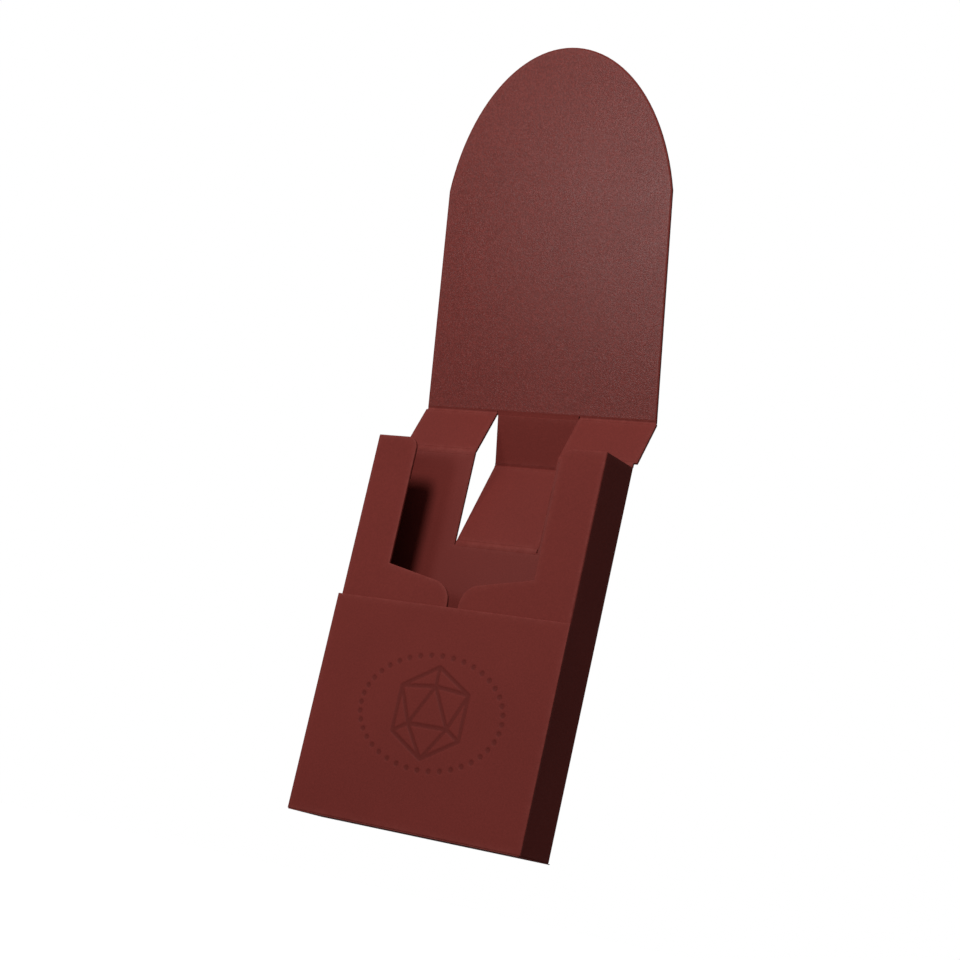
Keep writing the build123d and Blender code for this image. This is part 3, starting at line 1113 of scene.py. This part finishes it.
def build_camera():
    """The camera, a little below the base and tilted up and over."""
    studio = settings("studio")
    data = bpy.data.cameras.new("camera")
    data.sensor_width = 36.0
    data.lens = studio.lens
    data.shift_x = studio.shift_x
    data.shift_y = studio.shift_y
    data.clip_start = 0.01
    data.clip_end = 50.0
    camera = new_object("camera", data)
    heading = Matrix.Rotation(studio.heading, 4, "Z")
    pitch = Matrix.Rotation(radians(90) + studio.pitch, 4, "X")
    roll = Matrix.Rotation(studio.roll, 4, "Z")
    camera.matrix_world = Matrix.Translation(studio.camera) @ heading @ pitch @ roll
    bpy.context.scene.camera = camera


def build_stage():
    """Camera, pale floor, plain room, and the lights."""
    studio = settings("studio")
    build_camera()
    build_floor()
    build_world()
    middle = (0, 0, 0.13)
    area_light("key_light", (0.02, -0.62, 0.54), middle, 0.20, studio.key_watts)
    area_light("sheen_light", (-0.17, -0.44, 0.17), (0.02, 0, 0.20), 0.12, studio.sheen_watts)
    area_light("back_light", (-0.35, 0.90, 0.55), middle, 0.5, studio.back_watts)
    bpy.context.scene.view_settings.view_transform = "Standard"


# ---------------------------------------------------------------- operators

class DICE_BOX_OT_stage(bpy.types.Operator):
    """Sets up the camera, floor and lights"""

    bl_idname = "dice_box.stage"
    bl_label = "Stage"
    bl_options = {"REGISTER", "UNDO"}

    def execute(self, context):
        build_stage()
        return {"FINISHED"}


class DICE_BOX_OT_base(bpy.types.Operator):
    """Makes the sheet under the box and the base's lining"""

    bl_idname = "dice_box.base"
    bl_label = "Base"
    bl_options = {"REGISTER", "UNDO"}

    def execute(self, context):
        build_base()
        return {"FINISHED"}


class DICE_BOX_OT_lower_front(bpy.types.Operator):
    """Covers the lower front and presses its ornament"""

    bl_idname = "dice_box.lower_front"
    bl_label = "Lower front"
    bl_options = {"REGISTER", "UNDO"}

    def execute(self, context):
        build_lower_front()
        return {"FINISHED"}


class DICE_BOX_OT_body(bpy.types.Operator):
    """Folds the body's skin and lining round the box"""

    bl_idname = "dice_box.body"
    bl_label = "Body"
    bl_options = {"REGISTER", "UNDO"}

    def execute(self, context):
        build_body()
        return {"FINISHED"}


class DICE_BOX_OT_tabs(bpy.types.Operator):
    """Covers and lines the two tabs of the lid"""

    bl_idname = "dice_box.tabs"
    bl_label = "Lid tabs"
    bl_options = {"REGISTER", "UNDO"}

    def execute(self, context):
        build_tabs()
        return {"FINISHED"}


class DICE_BOX_OT_tongue(bpy.types.Operator):
    """Covers and lines the arched tongue"""

    bl_idname = "dice_box.tongue"
    bl_label = "Tongue"
    bl_options = {"REGISTER", "UNDO"}

    def execute(self, context):
        build_tongue()
        return {"FINISHED"}


class DICE_BOX_OT_middle_strip(bpy.types.Operator):
    """Covers and lines the middle strip"""

    bl_idname = "dice_box.middle_strip"
    bl_label = "Middle strip"
    bl_options = {"REGISTER", "UNDO"}

    def execute(self, context):
        build_middle_strip()
        return {"FINISHED"}


class DICE_BOX_OT_folds(bpy.types.Operator):
    """Makes the leather that turns in the folds"""

    bl_idname = "dice_box.folds"
    bl_label = "Folds"
    bl_options = {"REGISTER", "UNDO"}

    def execute(self, context):
        build_folds()
        return {"FINISHED"}


class DICE_BOX_OT_inner_parts(bpy.types.Operator):
    """Finishes the boards and magnets"""

    bl_idname = "dice_box.inner_parts"
    bl_label = "Boards and magnets"
    bl_options = {"REGISTER", "UNDO"}

    def execute(self, context):
        finish_inner_parts()
        return {"FINISHED"}


OPERATORS = [
    DICE_BOX_OT_stage,
    DICE_BOX_OT_base,
    DICE_BOX_OT_lower_front,
    DICE_BOX_OT_body,
    DICE_BOX_OT_tabs,
    DICE_BOX_OT_tongue,
    DICE_BOX_OT_middle_strip,
    DICE_BOX_OT_folds,
    DICE_BOX_OT_inner_parts,
]


class DiceBoxPanel(bpy.types.Panel):
    """Lists the dice box's pieces and the stage"""

    bl_idname = "VIEW3D_PT_dice_box"
    bl_label = "Dice Box"
    bl_space_type = "VIEW_3D"
    bl_region_type = "UI"
    bl_category = "Dice Box"

    def draw(self, context):
        for made in OPERATORS:
            self.layout.operator(made.bl_idname)
        for name in GROUPS:
            group = getattr(context.scene, name)
            box = self.layout.box()
            for key in group.bl_rna.properties.keys():
                if key not in ("rna_type", "name"):
                    box.prop(group, key)


def register():
    for made in (*GROUPS.values(), *OPERATORS, DiceBoxPanel):
        bpy.utils.register_class(made)
    for name, group in GROUPS.items():
        setattr(bpy.types.Scene, name, bpy.props.PointerProperty(type=group))


def unregister():
    for name in GROUPS:
        delattr(bpy.types.Scene, name)
    for made in reversed((*GROUPS.values(), *OPERATORS, DiceBoxPanel)):
        bpy.utils.unregister_class(made)


def main():
    register()
    for made in OPERATORS:
        name = made.bl_idname.split(".")[1]
        getattr(bpy.ops.dice_box, name)()


if __name__ == "__main__":
    main()
